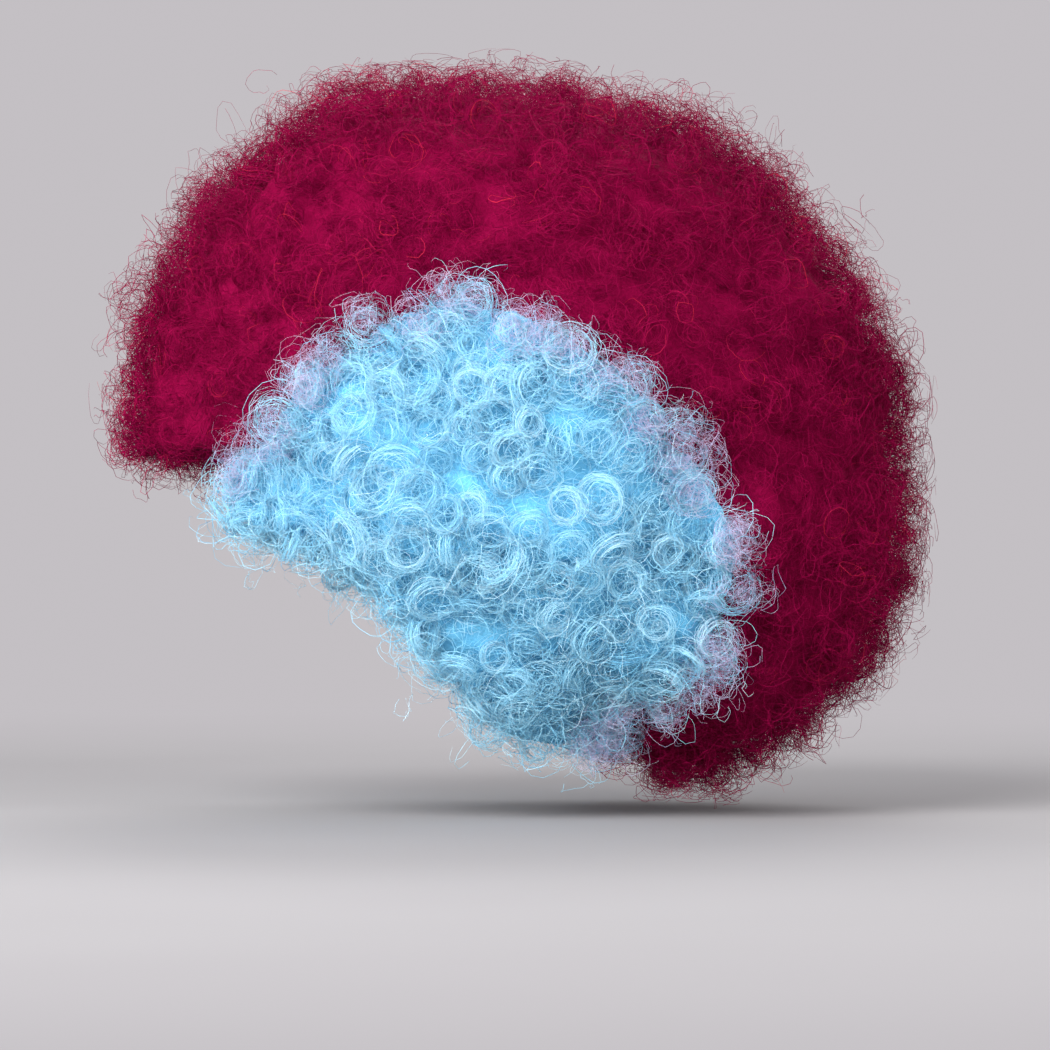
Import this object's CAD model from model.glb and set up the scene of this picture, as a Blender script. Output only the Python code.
import math

import bmesh
import bpy
import numpy as np
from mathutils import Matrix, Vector
from mathutils.bvhtree import BVHTree


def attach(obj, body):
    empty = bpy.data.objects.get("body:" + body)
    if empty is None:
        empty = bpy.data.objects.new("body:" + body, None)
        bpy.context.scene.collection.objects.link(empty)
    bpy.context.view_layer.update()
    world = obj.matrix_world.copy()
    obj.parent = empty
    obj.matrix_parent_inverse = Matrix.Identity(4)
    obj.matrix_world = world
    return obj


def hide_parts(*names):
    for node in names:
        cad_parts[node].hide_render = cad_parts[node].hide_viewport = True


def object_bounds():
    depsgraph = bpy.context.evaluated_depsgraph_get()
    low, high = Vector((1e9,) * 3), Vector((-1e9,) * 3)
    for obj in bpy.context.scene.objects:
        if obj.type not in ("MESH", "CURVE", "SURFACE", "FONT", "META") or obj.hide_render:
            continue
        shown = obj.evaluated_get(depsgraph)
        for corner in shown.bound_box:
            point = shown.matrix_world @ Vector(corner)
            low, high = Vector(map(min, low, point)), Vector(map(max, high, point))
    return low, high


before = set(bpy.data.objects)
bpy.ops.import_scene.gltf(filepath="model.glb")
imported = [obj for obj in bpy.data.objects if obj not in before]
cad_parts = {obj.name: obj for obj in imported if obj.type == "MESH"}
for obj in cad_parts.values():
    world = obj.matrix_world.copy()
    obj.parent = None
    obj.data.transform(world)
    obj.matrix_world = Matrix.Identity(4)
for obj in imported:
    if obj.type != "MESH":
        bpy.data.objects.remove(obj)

# A curly two-colour costume wig. Metres, +Z up, the wearer faces -Y and the wearer's left is +X.
CAD_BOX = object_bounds()
MM = 0.001
SIDES = ("left", "right")
CREST_ROWS = ("nape", "back", "crown_back", "crown", "crown_front", "forehead", "fringe")
SIDE_ROWS = ("upper", "middle", "lower")
CREST_NODES = [f"crest_curls_{row}" for row in CREST_ROWS]
SIDE_NODES = [f"side_curls_{row}_{side}" for side in SIDES for row in SIDE_ROWS]
HAIR_NODES = CREST_NODES + SIDE_NODES

# The head inside the cap, as half sizes of an ellipsoid about the origin
HEAD = np.array([76.0, 97.0, 122.0]) * MM
MASS_CENTRE = np.array([0.0, 26.0, 20.0]) * MM

# How far the loosest fibres may stand out of the CAD box
FIBRE_OVERHANG = 15 * MM
BAKE_UV = "OFBake"
TONE_LEVELS = 48
LOW_LIMIT = np.array(CAD_BOX[0])
HIGH_LIMIT = np.array(CAD_BOX[1])

# The nape band is an arc about an upright axis, and the hairline's plane falls from the front to the back
NAPE_CENTRE_Y = 22 * MM
NAPE_RADIUS = 64 * MM
NAPE_BAND_TOP = -46 * MM
NAPE_BAND_BOTTOM = -62 * MM
HAIRLINE_FRONT_Y = -90 * MM
HAIRLINE_FRONT_Z = 50 * MM
HAIRLINE_SLOPE = math.radians(43)
FRONT_BAND_WIDTH = 11 * MM

# Stitch rows along the two bands
STITCH_LENGTH = 2.4 * MM
STITCH_GAP = 1.1 * MM
STITCH_RISE = 0.28 * MM
STITCH_THREAD = 0.42 * MM
STITCH_INSET = 1.6 * MM
STITCH_POINTS = 6
NAPE_STITCH_ANGLE = 63
NAPE_STITCH_STAND_OFF = 0.1 * MM
NAPE_PATH_POINTS = 60
FRONT_STITCH_HALF_SPAN = 66 * MM
FRONT_STITCH_LOWEST = 12 * MM
FRONT_PATH_POINTS = 90

# Stretch nets, with their sizes measured along the stretched panels, in metres and square metres
NET_MIDDLE = 0.4 * MM
NET_CELL = 2.5 * MM
NET_THREAD = 0.8 * MM
NET_CATCH = 0.6 * MM
CROWN_NET_HALF_WIDTH = 80 * MM
CROWN_NET_BELOW_BACK = 70 * MM
SIDE_NET_REACH = 110 * MM

# Where curls may grow: tries for each point kept, and how near another piece covers the surface
TRIES_PER_POINT = 6
SURFACE_CLEARANCE = 0.05 * MM
COVERED_WITHIN = 8 * MM

# The form of the whole mass, the underlayer below the curls, and what is kept clear
SWELL_SIZE = 62 * MM
SWELL_HEIGHT = 11 * MM
SWELL_LEVEL = 0.55
NOISE_WAVES = 14
FAR_OUT = 80 * MM
LUMP_DEPTH = 28 * MM
LUMP_SIZE = 19 * MM
FINE_LUMP_SIZE = 7 * MM
LUMP_SHARE = 0.75
UNDERLAYER_VOXEL = 2.6 * MM
ROW_OVERLAP = 1.7 * MM
SIDEWAYS_GAIN = 1.6
INWARD_FACING = 0.45
FACING_FADE = 0.3
INNER_LIFT = 1.5 * MM
OUTWARD_BIAS = 0.3
HEAD_CLEARANCE = 0.92
ADJUSTER_REACH = 10 * MM
ADJUSTER_DEPTH = 1.5 * MM
MOST_FACES = 185_000

# Locks. A loose fibre strays from its lock, and a tight one keeps to it.
EDGE_ON_LEAN = 2.2
LOOSE = {"stray": 2.4, "lean": 0.35, "spread": 0.22, "wobble": 1.1}
TIGHT = {"lean": 0.06, "spread": 0.06, "wobble": 0.3}
LOCK_TURN_SPREAD = (0.75, 1.1)
LOCK_RISE_MM = (3, 7)
LOCK_SINK_SHARE = (0.4, 0.9)
LOCK_TAPER = (0, 0.45)
LOCK_TONE_BY_HEIGHT, LOCK_TONE_SPREAD, FIBRE_TONE_SPREAD = 0.035, 0.10, 0.14

# Fuzz: single fibres that cross between the locks
FUZZ_SCATTER_MM, FUZZ_RISE_MM, FUZZ_WOBBLE_MM = 4, (0, 4), 1.0
FUZZ_TURNS, FUZZ_TAPER = (0.5, 1.1), (-0.3, 0.5)
FUZZ_DARKER, FUZZ_TONE_BY_HEIGHT, FUZZ_TONE_SPREAD = 0.1, 0.03, 0.18

# Halo and border: loose loops outside the mass, in tufts, and over the other colour
TUFT_SIZE = 26 * MM
TUFT_HEIGHT_MM, STRAY_HEIGHT_MM, HALO_HEIGHT_MM, HALO_SCATTER_MM = 9, 1.6, (0, 4), 4.5
BORDER_REACH = 14 * MM
BORDER_ALONG_MM, BORDER_LIFT_MM, BORDER_SCATTER_MM, BORDER_THINNING = (-5, 6), (0, 8), 3, 0.65
LOOP_RADIUS_MM, LOOP_RISE_MM, LOOP_WOBBLE_MM = (2.5, 7.5), (0, 8), 1.5
LOOP_TURNS, LOOP_TAPER, LOOP_TONE_SPREAD = (0.6, 1.5), (-0.6, 0.5), 0.15

# Each fibre: how round its coil is, how it waves, thins towards its tip and pales from root to tip
COIL_SQUASH = 0.07
WAVE_CYCLES = (1.3, 2.9, 5.3)
TIP_START, TIP_THINNING = 0.75, 0.55
TONE_ALONG, TONE_MIDDLE = 0.16, 0.6
STRIP_MARGIN, STRIP_LOW, STRIP_STEP = 0.01, 0.15, 0.35

# The two colours of curls. Lengths are millimetres. Fibres, fuzz, halo and border are counts for each point.
BLUE_LOOK = {
    "spacing": 10.6, "sunk": (3.0, 9.0), "tone": 0.6,
    "fibres": 18, "radius": (5.8, 10.2), "turns": (1.1, 1.8), "points": 18, "height": (-3.0, 3.8),
    "lean": 0.5, "edge_on": 0.16, "loose": 0.24, "tight": 0.5, "thickness": (0.15, 0.25),
    "fuzz": 17, "fuzz_height": (-8, 1.5), "fuzz_radius": (4, 10), "fuzz_points": 11,
    "fuzz_thickness": (0.16, 0.26),
    "halo_share": 0.8, "halo": 4, "halo_points": 15, "halo_thickness": (0.12, 0.19), "halo_tone": 0.8,
    "border": 54,
}
CLARET_LOOK = {
    "spacing": 10.4, "sunk": (3.0, 10.0), "tone": 0.5,
    "fibres": 11, "radius": (4.0, 8.0), "turns": (1.0, 1.6), "points": 16, "height": (-3.0, 3.0),
    "lean": 0.9, "edge_on": 0.35, "loose": 0.55, "tight": 0.6, "thickness": (0.18, 0.3),
    "fuzz": 10, "fuzz_height": (-4, 5), "fuzz_radius": (3, 8), "fuzz_points": 11,
    "fuzz_thickness": (0.17, 0.28),
    "halo_share": 0.9, "halo": 6, "halo_points": 15, "halo_thickness": (0.13, 0.22), "halo_tone": 0.6,
    "border": 0,
}

# Colours, as linear RGB at positions from 0 to 1
BLUE_STOPS = [
    (0.0, (0.17, 0.53, 0.77)), (0.45, (0.34, 0.71, 0.88)),
    (0.8, (0.48, 0.80, 0.93)), (1.0, (0.68, 0.88, 0.97)),
]
CLARET_STOPS = [
    (0.0, (0.11, 0.0, 0.020)), (0.5, (0.20, 0.001, 0.036)),
    (0.85, (0.30, 0.003, 0.055)), (1.0, (0.52, 0.02, 0.05)),
]
EDGE_STOPS = [(0.0, (0.30, 0.42, 0.70)), (0.5, (0.50, 0.52, 0.76)), (1.0, (0.74, 0.66, 0.82))]
BLUE_DEEP = [(0.3, (0.09, 0.36, 0.58)), (0.7, (0.17, 0.48, 0.69))]
CLARET_DEEP = [(0.3, (0.11, 0.0, 0.018)), (0.7, (0.19, 0.001, 0.034))]
NET_STOPS = [(0.3, (0.03, 0.03, 0.034)), (0.7, (0.08, 0.08, 0.086))]
STITCH_STOPS = [(0.3, (0.22, 0.22, 0.24)), (0.7, (0.40, 0.40, 0.42))]

# A wave texture at scale 1 repeats over this length
WAVE_PERIOD_AT_ONE = math.pi / 10

# Camera, floor and lights. Each light: its name, place, aim, size and power.
FRAME_WIDTH = 437 * MM
CAMERA_DISTANCE = 2.2
SENSOR_MM = 36
AIM = Vector((0, 25 * MM, -10.4 * MM))
BACKGROUND = (0.55, 0.525, 0.55)
FLOOR_LOW, FLOOR_HIGH = (0.235, 0.229, 0.235), (0.25, 0.244, 0.25)
FADE_START, FADE_END = 0.3, 1.2
FLOOR_SIZE = 12
FLOOR_GAP = 14 * MM
LIGHTS = [
    ("key", (1.7, -0.9, 1.3), (0, 0.02, 0), 1.4, 90),
    ("fill", (1.6, 1.3, 0.5), (0, 0.02, 0), 1.6, 40),
    ("bounce", (1.0, -1.1, 0.05), (0, 0, 0), 0.8, 26),
    ("back", (-1.8, 0.3, 1.4), (0, 0.02, 0), 1.6, 40),
]


# ---------------------------------------------------------------- materials


def nodes_of(name):
    material = bpy.data.materials.new(name)
    material.use_nodes = True
    tree = material.node_tree
    return material, tree, tree.nodes["Principled BSDF"]


def add(tree, kind, **settings):
    node = tree.nodes.new(kind)
    for key, value in settings.items():
        setattr(node, key, value)
    return node


def ramp(tree, factor, stops):
    node = add(tree, "ShaderNodeValToRGB")
    elements = node.color_ramp.elements
    while len(elements) < len(stops):
        elements.new(0.5)
    for element, (position, colour) in zip(elements, stops):
        element.position = position
        element.color = (*colour, 1)
    tree.links.new(factor, node.inputs["Fac"])
    return node.outputs["Color"]


def noise(tree, scale, detail, place):
    node = add(tree, "ShaderNodeTexNoise")
    node.inputs["Scale"].default_value = scale
    node.inputs["Detail"].default_value = detail
    tree.links.new(place, node.inputs["Vector"])
    return node.outputs["Fac"]


def object_coordinates(tree):
    return add(tree, "ShaderNodeTexCoord").outputs["Object"]


def bump(tree, shader, height, distance):
    node = add(tree, "ShaderNodeBump")
    node.inputs["Strength"].default_value = 1.0
    node.inputs["Distance"].default_value = distance
    tree.links.new(height, node.inputs["Height"])
    tree.links.new(node.outputs["Normal"], shader.inputs["Normal"])


def mix_with_translucent(tree, shader, colour, share):
    """Lets part of the light through, as thin bright fibres do."""
    through = add(tree, "ShaderNodeBsdfTranslucent")
    tree.links.new(colour, through.inputs["Color"])
    mix = add(tree, "ShaderNodeMixShader")
    mix.inputs["Fac"].default_value = share
    tree.links.new(shader.outputs[0], mix.inputs[1])
    tree.links.new(through.outputs[0], mix.inputs[2])
    tree.links.new(mix.outputs[0], tree.nodes["Material Output"].inputs["Surface"])


def fibre_material(name, stops, roughness, gloss, through):
    """Curly synthetic fibre: each fibre has its own tone, deeper at the root than at the tip."""
    material, tree, shader = nodes_of(name)
    tone = add(tree, "ShaderNodeAttribute", attribute_name="tone").outputs["Fac"]
    colour = ramp(tree, tone, stops)
    tree.links.new(colour, shader.inputs["Base Color"])
    shader.inputs["Roughness"].default_value = roughness
    shader.inputs["Specular IOR Level"].default_value = gloss
    mix_with_translucent(tree, shader, colour, through)
    return material


def underlayer_material(name, stops):
    """The dense hair under the curls: short crossing wisps, deep in the hollows."""
    material, tree, shader = nodes_of(name)
    place = object_coordinates(tree)
    lumps = noise(tree, 160, 2.0, place)
    wisps = noise(tree, 900, 4.0, place)
    mixed = add(tree, "ShaderNodeMix", data_type="FLOAT")
    mixed.inputs["Factor"].default_value = 0.4
    tree.links.new(wisps, mixed.inputs["A"])
    tree.links.new(lumps, mixed.inputs["B"])
    tree.links.new(ramp(tree, mixed.outputs["Result"], stops), shader.inputs["Base Color"])
    shader.inputs["Roughness"].default_value = 0.85
    shader.inputs["Specular IOR Level"].default_value = 0.03
    bump(tree, shader, wisps, 0.8 * MM)
    return material


def woven_material(name, dark, light, rib, across, depth=0.12):
    """Narrow woven goods: ribs one way and crossing threads the other. All lengths are millimetres."""
    material, tree, shader = nodes_of(name)
    place = object_coordinates(tree)
    ribs = wave(tree, place, "Z", rib)
    threads = wave(tree, place, "DIAGONAL", across)
    weave = add(tree, "ShaderNodeMath", operation="MULTIPLY")
    tree.links.new(ribs, weave.inputs[0])
    tree.links.new(threads, weave.inputs[1])
    worn = add(tree, "ShaderNodeMix", data_type="FLOAT")
    worn.inputs["Factor"].default_value = 0.3
    tree.links.new(weave.outputs[0], worn.inputs["A"])
    tree.links.new(noise(tree, 220, 3.0, place), worn.inputs["B"])
    colour = ramp(tree, worn.outputs["Result"], [(0.05, dark), (0.8, light)])
    tree.links.new(colour, shader.inputs["Base Color"])
    shader.inputs["Roughness"].default_value = 0.75
    shader.inputs["Specular IOR Level"].default_value = 0.3
    bump(tree, shader, weave.outputs[0], depth * MM)
    return material


def wave(tree, place, direction, period_mm):
    node = add(tree, "ShaderNodeTexWave", bands_direction=direction)
    node.inputs["Scale"].default_value = WAVE_PERIOD_AT_ONE / (period_mm * MM)
    node.inputs["Distortion"].default_value = 0.4
    node.inputs["Detail"].default_value = 1.0
    tree.links.new(place, node.inputs["Vector"])
    return node.outputs["Fac"]


def thread_material(name, stops, scale):
    material, tree, shader = nodes_of(name)
    shade = noise(tree, scale, 3.0, object_coordinates(tree))
    tree.links.new(ramp(tree, shade, stops), shader.inputs["Base Color"])
    shader.inputs["Roughness"].default_value = 0.6
    shader.inputs["Specular IOR Level"].default_value = 0.3
    bump(tree, shader, shade, 0.05 * MM)
    return material


def hook_material():
    """Moulded nylon: nearly even, with faint flow marks and rubbed edges."""
    material, tree, shader = nodes_of("hook_nylon")
    marks = noise(tree, 400, 4.0, object_coordinates(tree))
    colour = ramp(tree, marks, [(0.3, (0.03, 0.03, 0.033)), (0.75, (0.07, 0.07, 0.074))])
    tree.links.new(colour, shader.inputs["Base Color"])
    shader.inputs["Roughness"].default_value = 0.42
    bump(tree, shader, marks, 0.03 * MM)
    return material


blue_fibre = fibre_material("blue_fibre", BLUE_STOPS, 0.55, 0.14, 0.35)
claret_fibre = fibre_material("claret_fibre", CLARET_STOPS, 0.6, 0.03, 0.2)
blue_edge_fibre = fibre_material("blue_edge_fibre", EDGE_STOPS, 0.6, 0.1, 0.4)
blue_under = underlayer_material("blue_underlayer", BLUE_DEEP)
claret_under = underlayer_material("claret_underlayer", CLARET_DEEP)
net_thread = thread_material("net_thread", NET_STOPS, 900)
stitch_thread = thread_material("stitch_thread", STITCH_STOPS, 1500)
tape_weave = woven_material("tape_weave", (0.02, 0.02, 0.024), (0.09, 0.09, 0.097), 0.9, 0.7)
band_weave = woven_material("band_weave", (0.025, 0.025, 0.03), (0.12, 0.12, 0.13), 0.8, 0.6)
elastic_weave = woven_material("elastic_weave", (0.02, 0.02, 0.024), (0.13, 0.13, 0.14), 1.6, 0.8, depth=0.3)
claret_track = woven_material("claret_track", (0.05, 0.001, 0.01), (0.22, 0.01, 0.05), 0.8, 0.9, depth=0.2)
blue_track = woven_material("blue_track", (0.04, 0.18, 0.33), (0.20, 0.50, 0.75), 0.8, 0.9, depth=0.2)


# ---------------------------------------------------------------- cap


def dress(node, material):
    """Gives a CAD node that keeps its own shape its finish."""
    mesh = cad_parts[node].data
    mesh.materials.clear()
    mesh.materials.append(material)


def crown_grid(u, v):
    """Points on the net's middle surface, with u across the head and v from the nape over to the front."""
    half = HEAD + NET_MIDDLE
    a, b = u / half[0], v / half[2]
    y, z = half[1] * np.cos(a) * np.cos(b), half[2] * np.cos(a) * np.sin(b)
    return np.stack([half[0] * np.sin(a), y, z], -1)


def side_grid(sign):
    """Points on one side's net, with u along the head and v up it."""
    def place(u, v):
        half = HEAD + NET_MIDDLE
        a, b = u / half[1], v / half[2]
        x = sign * half[0] * np.cos(a) * np.cos(b)
        return np.stack([x, half[1] * np.sin(a), half[2] * np.cos(a) * np.sin(b)], -1)
    return place


def net_panel(name, node, place, low, high):
    """A stretch-net panel: threads crossing on the bias, kept where the CAD panel lies."""
    solid = Solid(node)
    step = NET_CELL / math.sqrt(2)
    reach = int(max(abs(value) for value in (*low, *high)) / step) + 2
    bm = bmesh.new()
    corners = {}

    def corner(i, j):
        if (i, j) not in corners:
            point = place(np.array((i - j) * step), np.array((i + j) * step))
            near = solid.tree.find_nearest(Vector(point))[3]
            corners[i, j] = bm.verts.new(point) if near < NET_CATCH else None
        return corners[i, j]

    for i in range(-reach, reach):
        for j in range(-reach, reach):
            u, v = (i - j) * step, (i + j) * step
            if not (low[0] <= u <= high[0] and low[1] <= v <= high[1]):
                continue
            cell = [corner(i, j), corner(i + 1, j), corner(i + 1, j + 1), corner(i, j + 1)]
            if all(cell):
                bm.faces.new(cell)
    loose = [vertex for vertex in bm.verts if not vertex.link_faces]
    bmesh.ops.delete(bm, geom=loose, context="VERTS")
    mesh = bpy.data.meshes.new(name)
    bm.to_mesh(mesh)
    bm.free()
    obj = make_object(name, mesh)
    threads = obj.modifiers.new("threads", "WIREFRAME")
    threads.thickness = NET_THREAD
    threads.use_even_offset = False
    threads.use_boundary = True
    obj.data = bpy.data.meshes.new_from_object(obj.evaluated_get(bpy.context.evaluated_depsgraph_get()))
    obj.modifiers.clear()
    obj.data.materials.clear()
    obj.data.materials.append(net_thread)
    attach(obj, "cap")
    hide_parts(node)


def make_nets():
    low = (-CROWN_NET_HALF_WIDTH, -CROWN_NET_BELOW_BACK)
    high = (CROWN_NET_HALF_WIDTH, (HEAD[2] + NET_MIDDLE) * math.pi)
    net_panel("crown_net_threads", "crown_net", crown_grid, low, high)
    low, high = (-SIDE_NET_REACH, -SIDE_NET_REACH), (SIDE_NET_REACH, SIDE_NET_REACH)
    for sign, side in zip((1, -1), SIDES):
        node = f"side_net_{side}"
        net_panel(f"{node}_threads", node, side_grid(sign), low, high)


def stitches(name, path, body):
    """A row of sewn stitches along a path: each is a short thread that dips in at both ends."""
    steps = np.linalg.norm(np.diff(path, axis=0), axis=1)
    distance = np.concatenate([[0], np.cumsum(steps)])
    starts = np.arange(STITCH_GAP, distance[-1] - STITCH_LENGTH, STITCH_LENGTH + STITCH_GAP)
    share = np.linspace(0, 1, STITCH_POINTS)
    at = starts[:, None] + share[None, :] * STITCH_LENGTH
    lines = np.stack([np.interp(at, distance, path[:, axis]) for axis in range(3)], -1)
    inward = unit(np.array([0, NAPE_CENTRE_Y, 0]) - lines)
    lines = lines + inward * (STITCH_RISE * np.sin(share * math.pi))[None, :, None]
    count = len(starts)
    mesh = tube_mesh(name, lines, np.full(count, STITCH_THREAD), np.full(count, 0.5), stitch_thread)
    obj = make_object(name, mesh)
    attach(obj, body)


def nape_path(height):
    """Along the nape band's inner face, at one height."""
    radius = NAPE_RADIUS - NAPE_STITCH_STAND_OFF
    angle = np.radians(np.linspace(-NAPE_STITCH_ANGLE, NAPE_STITCH_ANGLE, NAPE_PATH_POINTS))
    x = radius * np.sin(angle)
    y = NAPE_CENTRE_Y + radius * np.cos(angle)
    return np.stack([x, y, np.full(len(angle), height)], -1)


def front_band_path(offset):
    """Along the front band's inner face, at one distance up from the hairline."""
    rise = math.tan(HAIRLINE_SLOPE)
    # The row lies in the plane z = level - y * rise, where that meets the head's ellipsoid at the front
    level = HAIRLINE_FRONT_Z + HAIRLINE_FRONT_Y * rise + offset / math.cos(HAIRLINE_SLOPE)
    a = 1 / HEAD[1] ** 2 + rise ** 2 / HEAD[2] ** 2
    b = -2 * level * rise / HEAD[2] ** 2
    points = []
    for x in np.linspace(-FRONT_STITCH_HALF_SPAN, FRONT_STITCH_HALF_SPAN, FRONT_PATH_POINTS):
        c = (x / HEAD[0]) ** 2 + (level / HEAD[2]) ** 2 - 1
        root = b * b - 4 * a * c
        if root > 0:
            y = (-b - math.sqrt(root)) / (2 * a)
            z = level - y * rise
            if z > FRONT_STITCH_LOWEST:
                points.append((x, y, z))
    return np.array(points)


def make_cap():
    make_nets()
    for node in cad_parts:
        if node.startswith(("seam_tape", "loop_tape")):
            dress(node, tape_weave)
        elif node.startswith(("front_band", "ear_tab", "strap_casing")):
            dress(node, band_weave)
        elif node.startswith(("ear_binding", "nape_band", "adjuster_strap")):
            dress(node, elastic_weave)
        elif node.startswith("crest_track"):
            dress(node, claret_track)
        elif node.startswith("side_track"):
            dress(node, blue_track)
    nylon = hook_material()
    for side in SIDES:
        dress(f"adjuster_hook_{side}", nylon)
    heights = {"top": NAPE_BAND_TOP - STITCH_INSET, "bottom": NAPE_BAND_BOTTOM + STITCH_INSET}
    for label, height in heights.items():
        stitches(f"nape_band_stitches_{label}", nape_path(height), "cap")
    offsets = {"low": STITCH_INSET, "high": FRONT_BAND_WIDTH - STITCH_INSET}
    for label, offset in offsets.items():
        stitches(f"front_band_stitches_{label}", front_band_path(offset), "cap")


# ---------------------------------------------------------------- hair


def mesh_arrays(obj):
    mesh = obj.data
    points = np.empty(len(mesh.vertices) * 3)
    mesh.vertices.foreach_get("co", points)
    mesh.calc_loop_triangles()
    triangles = np.empty(len(mesh.loop_triangles) * 3, dtype=np.int32)
    mesh.loop_triangles.foreach_get("vertices", triangles)
    return points.reshape(-1, 3), triangles.reshape(-1, 3)


def unit(vectors):
    return vectors / np.maximum(np.linalg.norm(vectors, axis=-1, keepdims=True), 1e-12)


class Solid:
    """A CAD node's surface, for sampling and for finding what covers what."""

    def __init__(self, name):
        self.points, self.triangles = mesh_arrays(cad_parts[name])
        self.tree = BVHTree.FromPolygons(self.points.tolist(), self.triangles.tolist())


def spread_points(solid, others, spacing, rng):
    """Points on the exposed faces of a solid, no two nearer than the spacing, and their outward normals."""
    corners = solid.points[solid.triangles]
    across = np.cross(corners[:, 1] - corners[:, 0], corners[:, 2] - corners[:, 0])
    area = np.linalg.norm(across, axis=1) / 2
    normals = unit(across)
    count = int(area.sum() / spacing ** 2 * TRIES_PER_POINT)
    chosen = rng.choice(len(area), size=count, p=area / area.sum())
    a, b = rng.random(count), rng.random(count)
    flip = a + b > 1
    a[flip], b[flip] = 1 - a[flip], 1 - b[flip]
    points = corners[chosen, 0] + a[:, None] * (corners[chosen, 1] - corners[chosen, 0])
    points += b[:, None] * (corners[chosen, 2] - corners[chosen, 0])
    kept_points, kept_normals = [], []
    cells = {}
    for point, normal in zip(points, normals[chosen]):
        cell = tuple(np.floor(point / spacing).astype(int))
        near = [
            other
            for dx in (-1, 0, 1) for dy in (-1, 0, 1) for dz in (-1, 0, 1)
            for other in cells.get((cell[0] + dx, cell[1] + dy, cell[2] + dz), ())
        ]
        if any(sum((point - other) ** 2) < spacing ** 2 for other in near):
            continue
        start = Vector(point + normal * SURFACE_CLEARANCE)
        if any(tree.ray_cast(start, Vector(normal), COVERED_WITHIN)[0] is not None for tree in others):
            continue
        cells.setdefault(cell, []).append(point)
        kept_points.append(point)
        kept_normals.append(normal)
    return np.array(kept_points), np.array(kept_normals)


def tilt(normals, amount, rng):
    """Directions near the normals, leaning at random by up to about the amount."""
    return unit(normals + amount * unit(rng.normal(size=normals.shape)))


def coil_fibres(centres, axes, radii, turns, depth, rise, rng, points, wobble, taper):
    """Fibres that each coil about an axis. Returns their centre lines, fibres by points by 3."""
    count = len(centres)
    along = np.linspace(0, 1, points)
    reference = unit(rng.normal(size=(count, 3)))
    first = unit(np.cross(axes, reference))
    second = np.cross(axes, first)
    start = rng.random(count) * 2 * math.pi
    angle = start[:, None] + along * turns[:, None] * 2 * math.pi
    squash = 1 + rng.normal(0, COIL_SQUASH, count)
    radius = radii[:, None] * (1 - taper[:, None] * along ** 2)
    lift = depth[:, None] + rise[:, None] * along
    waves = np.zeros((count, points, 3))
    for cycles in WAVE_CYCLES:
        phase = rng.random((count, 1, 3)) * 2 * math.pi
        waves += np.sin(along[None, :, None] * cycles * 2 * math.pi + phase) / cycles
    lines = centres[:, None, :] + waves * wobble[:, None, None]
    lines = lines + (radius * np.cos(angle) * squash[:, None])[..., None] * first[:, None, :]
    lines = lines + (radius * np.sin(angle) / squash[:, None])[..., None] * second[:, None, :]
    return lines + lift[..., None] * axes[:, None, :]


def hold_in_box(lines):
    """Draws in the loosest fibres, so that none stands further out of the CAD box than allowed."""
    over = np.maximum(lines - HIGH_LIMIT, 0) - np.maximum(LOW_LIMIT - lines, 0)
    held = FIBRE_OVERHANG * np.tanh(over / FIBRE_OVERHANG)
    return lines - over + held


def tube_mesh(name, lines, thickness, tone, material):
    """One mesh of closed three-sided tubes along the lines, with a tone for each fibre."""
    lines = hold_in_box(lines)
    fibres, points, _ = lines.shape
    tangent = unit(np.gradient(lines, axis=1))
    side = np.empty_like(lines)
    guide = unit(np.cross(tangent[:, 0], np.roll(tangent[:, 0], 1, axis=1) + 0.01))
    for index in range(points):
        guide = unit(guide - (guide * tangent[:, index]).sum(1, keepdims=True) * tangent[:, index])
        side[:, index] = guide
    other = np.cross(tangent, side)
    along = np.linspace(0, 1, points)
    tip = np.maximum(along - TIP_START, 0) / (1 - TIP_START)
    width = thickness[:, None] / 2 * (1 - TIP_THINNING * tip)
    corners = []
    for corner in range(3):
        angle = corner * 2 * math.pi / 3
        corners.append(lines + width[..., None] * (math.cos(angle) * side + math.sin(angle) * other))
    vertices = np.stack(corners, axis=2).reshape(-1, 3)
    base = (np.arange(fibres) * points * 3)[:, None, None]
    ring = (np.arange(points - 1) * 3)[None, :, None]
    corner = np.arange(3)[None, None, :]
    after = (corner + 1) % 3
    here = base + ring
    quads = np.stack([here + corner, here + after, here + 3 + after, here + 3 + corner], -1).reshape(-1, 4)
    first = base[:, 0, :] + np.array([[2, 1, 0]])
    last = base[:, 0, :] + (points - 1) * 3 + np.array([[0, 1, 2]])
    ends = np.concatenate([first, last])
    loops = np.concatenate([quads.ravel(), ends.ravel()])
    starts = np.concatenate([np.arange(len(quads)) * 4, len(quads) * 4 + np.arange(len(ends)) * 3])
    mesh = bpy.data.meshes.new(name)
    mesh.vertices.add(len(vertices))
    mesh.vertices.foreach_set("co", vertices.ravel())
    mesh.loops.add(len(loops))
    mesh.loops.foreach_set("vertex_index", loops)
    mesh.polygons.add(len(starts))
    mesh.polygons.foreach_set("loop_start", starts)
    mesh.update(calc_edges=True)
    level = np.floor(np.clip(tone, 0, 0.999) * TONE_LEVELS)
    shade = np.clip((level + 0.5) / TONE_LEVELS, 0, 1)[:, None] + TONE_ALONG * (along[None, :] - TONE_MIDDLE)
    attribute = mesh.attributes.new("tone", "FLOAT", "POINT")
    attribute.data.foreach_set("value", np.repeat(np.clip(shade, 0, 1).ravel(), 3))
    mesh.shade_smooth()
    add_strip_uv(mesh, loops, level, points)
    mesh.materials.append(material)
    return mesh


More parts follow.
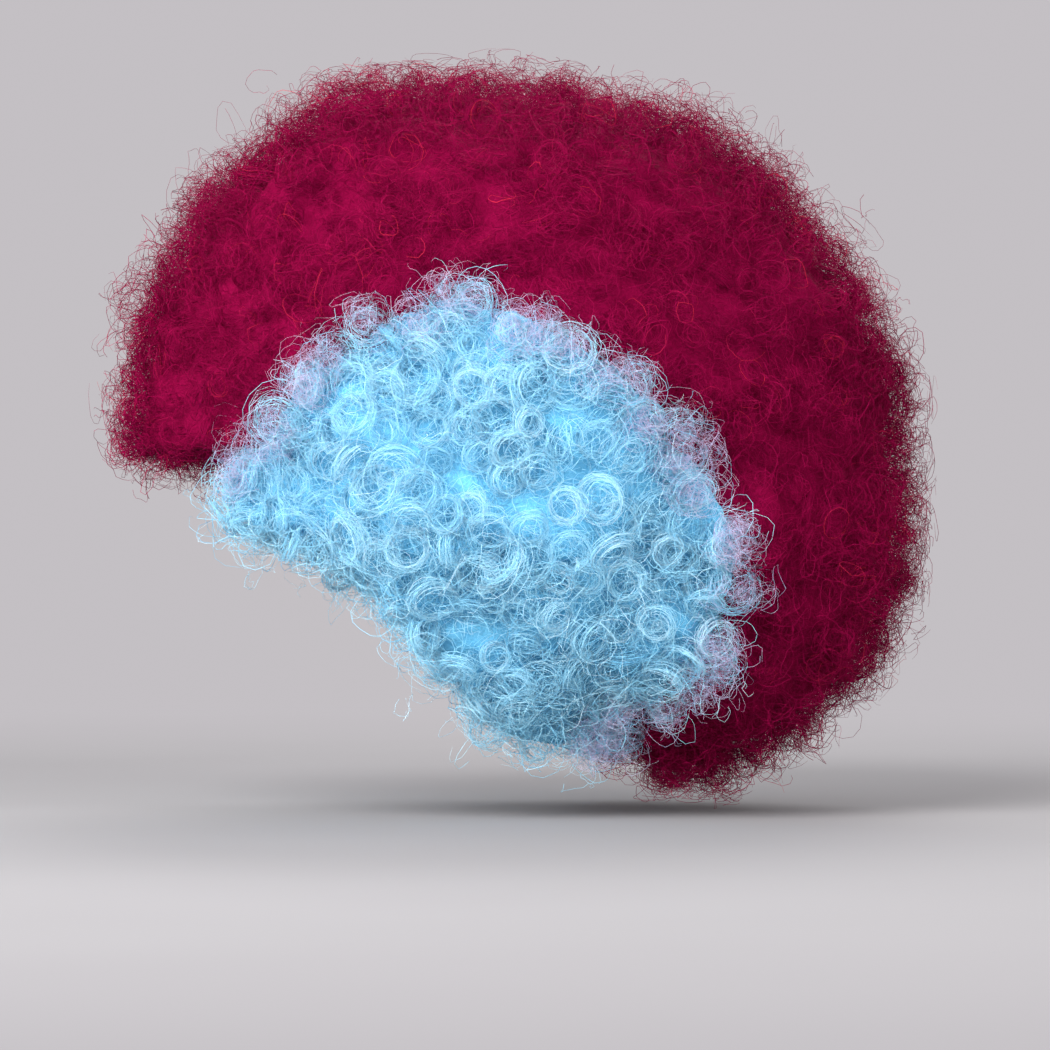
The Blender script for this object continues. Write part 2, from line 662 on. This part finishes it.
def add_strip_uv(mesh, loops, level, points):
    """Lays each fibre along the strip of its own tone."""
    index = loops // 3
    fibre, step = index // points, index % points
    u = STRIP_MARGIN + (1 - 2 * STRIP_MARGIN) * step / (points - 1)
    v = (level[fibre] + STRIP_LOW + STRIP_STEP * (loops % 3)) / TONE_LEVELS
    layer = mesh.uv_layers.new(name=BAKE_UV)
    layer.data.foreach_set("uv", np.stack([u, v], -1).ravel())


def make_object(name, mesh):
    obj = bpy.data.objects.new(name, mesh)
    bpy.context.scene.collection.objects.link(obj)
    return obj


def smooth_noise(points, size, seed):
    """Smooth lumps of about the given size, from 0 to 1, summed from waves in random directions."""
    rng = np.random.default_rng(seed)
    total = np.zeros(len(points))
    for _ in range(NOISE_WAVES):
        direction = rng.normal(size=3)
        direction *= 2 * math.pi / (size * rng.uniform(0.8, 1.6)) / np.linalg.norm(direction)
        total += np.sin(points @ direction + rng.random() * 2 * math.pi)
    return np.clip(0.5 + total / math.sqrt(NOISE_WAVES) * 0.35, 0, 1)


def swell(points):
    """How far the mass of curls bulges or sinks at each point: broad lumps, as loose curls settle."""
    return (smooth_noise(points, SWELL_SIZE, 5) - SWELL_LEVEL) * SWELL_HEIGHT


class HairMass:
    """All the curls together, to find how deep a point lies below their outer form."""

    def __init__(self, solids):
        points, triangles = [], []
        for name in HAIR_NODES:
            triangles.extend((solids[name].triangles + len(points)).tolist())
            points.extend(solids[name].points.tolist())
        self.tree = BVHTree.FromPolygons(points, triangles)

    def depth(self, points, outward):
        found = np.zeros(len(points))
        for index, (start, way) in enumerate(zip(points + outward * FAR_OUT, outward)):
            distance = self.tree.ray_cast(Vector(start), Vector(-way), 2 * FAR_OUT)[3]
            found[index] = 0 if distance is None else max(0, FAR_OUT - distance)
        return found


def underlayer(name, node, mass, material, look):
    """The dense hair of one section: the section's own form, drawn in and lumpy where it faces out."""
    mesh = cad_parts[node].data.copy()
    obj = make_object(name, mesh)
    mesh.materials.clear()
    mesh.materials.append(material)
    remesh = obj.modifiers.new("remesh", "REMESH")
    remesh.mode = "VOXEL"
    remesh.voxel_size = UNDERLAYER_VOXEL
    depsgraph = bpy.context.evaluated_depsgraph_get()
    shaped = bpy.data.meshes.new_from_object(obj.evaluated_get(depsgraph))
    obj.modifiers.clear()
    obj.data = shaped
    points, _ = mesh_arrays(obj)
    normals = np.empty(len(points) * 3)
    shaped.vertices.foreach_get("normal", normals)
    normals = normals.reshape(-1, 3)
    outward = unit(points - MASS_CENTRE)
    facing = (normals * outward).sum(1)
    sideways = 1 - np.abs(facing)
    points = points + normals * (ROW_OVERLAP * np.minimum(SIDEWAYS_GAIN * sideways, 1))[:, None]
    lumps = smooth_noise(points, LUMP_SIZE, 11)
    fine = smooth_noise(points, FINE_LUMP_SIZE, 12)
    least, most = look["sunk"]
    hollow = LUMP_SHARE * (1 - lumps) + (1 - LUMP_SHARE) * fine
    drop = (least + (most - least) * hollow) * MM - swell(points)
    share = np.clip(1 - mass.depth(points, outward) / LUMP_DEPTH, 0, 1)
    share *= np.clip((facing + INWARD_FACING) / FACING_FADE, 0, 1)
    points = points - outward * (drop * share)[:, None]
    shaped.vertices.foreach_set("co", points.ravel())
    shaped.shade_smooth()
    shaped.update()
    return obj


def curls(points, normals, look, rng):
    """Ring-shaped locks: each is a bundle of fibres coiled round one axis that faces roughly outward."""
    count, per = len(points), look["fibres"]
    leaning = rng.random(count) < look["edge_on"]
    axes = tilt(normals, look["lean"], rng)
    axes[leaning] = tilt(normals[leaning], EDGE_ON_LEAN, rng)
    radii = rng.uniform(*look["radius"], count) * MM
    turns = rng.uniform(*look["turns"], count)
    height = rng.uniform(*look["height"], count)
    centres = points + normals * (height * MM)[:, None]
    repeat = np.repeat(np.arange(count), per)
    total = len(repeat)
    untidy = look["loose"] * rng.uniform(0, 2, count)
    loose = rng.random(total) < untidy[repeat]
    stray = np.where(loose, LOOSE["stray"], look["tight"])
    lean, spread, wobble = (np.where(loose, LOOSE[key], TIGHT[key]) for key in ("lean", "spread", "wobble"))
    fibre_centres = centres[repeat] + rng.normal(size=(total, 3)) * (stray * MM)[:, None]
    fibre_axes = unit(axes[repeat] + rng.normal(size=(total, 3)) * lean[:, None])
    fibre_radii = radii[repeat] * (1 + rng.normal(0, 1, total) * spread)
    fibre_turns = turns[repeat] * rng.uniform(*LOCK_TURN_SPREAD, total)
    rise = rng.uniform(*LOCK_RISE_MM, total) * MM
    depth = -rise * rng.uniform(*LOCK_SINK_SHARE, total)
    taper = rng.uniform(*LOCK_TAPER, total)
    lines = coil_fibres(
        fibre_centres, fibre_axes, fibre_radii, fibre_turns,
        depth, rise, rng, look["points"], wobble * MM, taper,
    )
    thickness = rng.uniform(*look["thickness"], total) * MM
    lock_tone = look["tone"] + LOCK_TONE_BY_HEIGHT * height + rng.normal(0, LOCK_TONE_SPREAD, count)
    tone = np.clip(lock_tone[repeat] + rng.normal(0, FIBRE_TONE_SPREAD, total), 0, 1)
    return lines, thickness, tone


def fuzz(points, normals, look, rng):
    """Single crossing fibres between, under and over the locks."""
    repeat = np.repeat(np.arange(len(points)), look["fuzz"])
    total = len(repeat)
    height = rng.uniform(*look["fuzz_height"], total)
    scatter = rng.normal(size=(total, 3)) * FUZZ_SCATTER_MM * MM
    centres = points[repeat] + scatter + normals[repeat] * (height * MM)[:, None]
    axes = unit(rng.normal(size=(total, 3)))
    radii = rng.uniform(*look["fuzz_radius"], total) * MM
    turns = rng.uniform(*FUZZ_TURNS, total)
    rise = rng.uniform(*FUZZ_RISE_MM, total) * MM
    taper = rng.uniform(*FUZZ_TAPER, total)
    wobble = np.full(total, FUZZ_WOBBLE_MM * MM)
    lines = coil_fibres(
        centres, axes, radii, turns, np.zeros(total), rise, rng, look["fuzz_points"], wobble, taper
    )
    thickness = rng.uniform(*look["fuzz_thickness"], total) * MM
    raised_tone = look["tone"] - FUZZ_DARKER + FUZZ_TONE_BY_HEIGHT * height
    tone = np.clip(raised_tone + rng.normal(0, FUZZ_TONE_SPREAD, total), 0, 1)
    return lines, thickness, tone


def halo(points, normals, look, rng):
    """The loosest loops and stray ends, which stand out of the mass all round its edge."""
    share = rng.random(len(points)) < look["halo_share"]
    repeat = np.repeat(np.flatnonzero(share), look["halo"])
    total = len(repeat)
    tuft = smooth_noise(points, TUFT_SIZE, 21)[repeat]
    height = rng.uniform(*HALO_HEIGHT_MM, total) + TUFT_HEIGHT_MM * tuft ** 3
    height += rng.exponential(STRAY_HEIGHT_MM, total)
    scatter = rng.normal(size=(total, 3)) * HALO_SCATTER_MM * MM
    centres = points[repeat] + scatter + normals[repeat] * (height * MM)[:, None]
    return loose_loops(centres, look, rng)


def border(points, normals, near_trees, look, rng):
    """Pale loose loops that lie over the other colour along the patch's edge."""
    centres = []
    for point, normal in zip(points, normals):
        hits = [tree.find_nearest(Vector(point), BORDER_REACH) for tree in near_trees]
        hits = [hit for hit in hits if hit[0] is not None]
        if not hits:
            continue
        nearest = np.array(min(hits, key=lambda hit: hit[3])[0])
        way = unit((nearest - point) + 1e-6)
        along = rng.uniform(*BORDER_ALONG_MM, (look["border"], 1)) * MM
        lift = rng.uniform(*BORDER_LIFT_MM, (look["border"], 1)) * MM
        scatter = rng.normal(size=(look["border"], 3)) * BORDER_SCATTER_MM * MM
        centres.append(point + way * along + normal * lift + scatter)
    if not centres:
        return None
    lines, thickness, tone = loose_loops(np.concatenate(centres), look, rng)
    return lines, thickness * BORDER_THINNING, tone


def loose_loops(centres, look, rng):
    """Thin single loops, each turned its own way."""
    total = len(centres)
    axes = unit(rng.normal(size=(total, 3)))
    radii = rng.uniform(*LOOP_RADIUS_MM, total) * MM
    turns = rng.uniform(*LOOP_TURNS, total)
    rise = rng.uniform(*LOOP_RISE_MM, total) * MM
    taper = rng.uniform(*LOOP_TAPER, total)
    wobble = np.full(total, LOOP_WOBBLE_MM * MM)
    lines = coil_fibres(
        centres, axes, radii, turns, np.zeros(total), rise, rng, look["halo_points"], wobble, taper
    )
    thickness = rng.uniform(*look["halo_thickness"], total) * MM
    tone = np.clip(rng.normal(look["halo_tone"], LOOP_TONE_SPREAD, total), 0, 1)
    return lines, thickness, tone


def clear_of_the_head(fibres):
    """Drops the fibres that would stray into the head's space or among the adjusters."""
    lines, thickness, tone = fibres
    in_head = ((lines / HEAD) ** 2).sum(-1) < HEAD_CLEARANCE
    from_axis = np.hypot(lines[..., 0], lines[..., 1] - NAPE_CENTRE_Y)
    height = np.abs(lines[..., 2] - (NAPE_BAND_TOP + NAPE_BAND_BOTTOM) / 2)
    at_band = (height < ADJUSTER_REACH) & (from_axis < NAPE_RADIUS + ADJUSTER_DEPTH)
    keep = ~(in_head | at_band).any(axis=1)
    return lines[keep], thickness[keep], tone[keep]


def hair_pieces(name, fibres, material):
    """Meshes of one kind of fibre, split so that no piece has too many faces."""
    lines, thickness, tone = clear_of_the_head(fibres)
    faces_each = 6 * (lines.shape[1] - 1) + 2
    parts = math.ceil(len(lines) * faces_each / MOST_FACES)
    pieces = []
    for part in range(parts):
        label = name if parts == 1 else f"{name}_{part + 1}"
        pick = slice(part, None, parts)
        mesh = tube_mesh(label, lines[pick], thickness[pick], tone[pick], material)
        pieces.append(make_object(label, mesh))
    return pieces


def make_hair():
    """Replaces each bunch of curls with its underlayer and its fibres."""
    solids = {name: Solid(name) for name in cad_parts}
    mass = HairMass(solids)
    crest_trees = [solids[name].tree for name in CREST_NODES]
    for number, node in enumerate(HAIR_NODES):
        crest = node in CREST_NODES
        look = CLARET_LOOK if crest else BLUE_LOOK
        fibre = claret_fibre if crest else blue_fibre
        under = claret_under if crest else blue_under
        label = node.replace("_curls", "")
        rng = np.random.default_rng(100 + number)
        others = [solid.tree for name, solid in solids.items() if name != node]
        points, normals = spread_points(solids[node], others, look["spacing"] * MM, rng)
        facing = np.clip((normals * unit(points - MASS_CENTRE)).sum(1) + OUTWARD_BIAS, 0, 1)
        raised = points + normals * (facing * swell(points) + (1 - facing) * INNER_LIFT)[:, None]
        kinds = {make.__name__: make(raised, normals, look, rng) for make in (curls, fuzz, halo)}
        if not crest:
            kinds["border"] = border(raised, normals, crest_trees, look, rng)
        pieces = [underlayer(f"{label}_underlayer", node, mass, under, look)]
        for kind, fibres in kinds.items():
            if fibres is not None:
                material = blue_edge_fibre if kind == "border" else fibre
                pieces += hair_pieces(f"{label}_{kind}", fibres, material)
        for piece in pieces:
            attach(piece, "cap")
            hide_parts(node)


make_cap()
make_hair()


# ---------------------------------------------------------------- stage


def look_from(obj, place, aim):
    obj.location = place
    obj.rotation_euler = (Vector(aim) - Vector(place)).to_track_quat("-Z", "Y").to_euler()


def make_camera():
    camera = bpy.data.objects.new("camera", bpy.data.cameras.new("camera"))
    camera.data.sensor_width = SENSOR_MM
    camera.data.lens = SENSOR_MM * CAMERA_DISTANCE / FRAME_WIDTH
    look_from(camera, AIM + Vector((CAMERA_DISTANCE, 0, 0)), AIM)
    bpy.context.scene.collection.objects.link(camera)
    bpy.context.scene.camera = camera


def area_light(name, place, aim, size, power):
    light = bpy.data.lights.new(name, "AREA")
    light.shape = "DISK"
    light.size = size
    light.energy = power
    obj = bpy.data.objects.new(name, light)
    look_from(obj, Vector(place), Vector(aim))
    bpy.context.scene.collection.objects.link(obj)


def floor_material():
    """A pale floor that fades with distance into the even background, so no horizon shows."""
    material, tree, shader = nodes_of("floor")
    place = object_coordinates(tree)
    shade = ramp(tree, noise(tree, 3.0, 2.0, place), [(0.3, FLOOR_LOW), (0.7, FLOOR_HIGH)])
    tree.links.new(shade, shader.inputs["Base Color"])
    shader.inputs["Roughness"].default_value = 0.9
    shader.inputs["Specular IOR Level"].default_value = 0.1
    distance = add(tree, "ShaderNodeVectorMath", operation="LENGTH")
    tree.links.new(place, distance.inputs[0])
    fade = add(tree, "ShaderNodeMapRange", interpolation_type="SMOOTHSTEP")
    fade.inputs["From Min"].default_value = FADE_START
    fade.inputs["From Max"].default_value = FADE_END
    tree.links.new(distance.outputs["Value"], fade.inputs["Value"])
    glow = add(tree, "ShaderNodeEmission")
    glow.inputs["Color"].default_value = (*BACKGROUND, 1)
    mix = add(tree, "ShaderNodeMixShader")
    tree.links.new(fade.outputs["Result"], mix.inputs["Fac"])
    tree.links.new(shader.outputs[0], mix.inputs[1])
    tree.links.new(glow.outputs[0], mix.inputs[2])
    tree.links.new(mix.outputs[0], tree.nodes["Material Output"].inputs["Surface"])
    return material


def make_stage():
    bpy.ops.mesh.primitive_plane_add(size=FLOOR_SIZE, location=(0, 0, LOW_LIMIT[2] - FLOOR_GAP))
    floor = bpy.context.object
    floor.name = "floor"
    floor.data.materials.append(floor_material())
    world = bpy.data.worlds.new("world")
    world.use_nodes = True
    background = world.node_tree.nodes["Background"]
    background.inputs["Color"].default_value = (*BACKGROUND, 1)
    background.inputs["Strength"].default_value = 1.0
    bpy.context.scene.world = world
    for light in LIGHTS:
        area_light(*light)
    bpy.context.scene.view_settings.view_transform = "Standard"


make_camera()
make_stage()
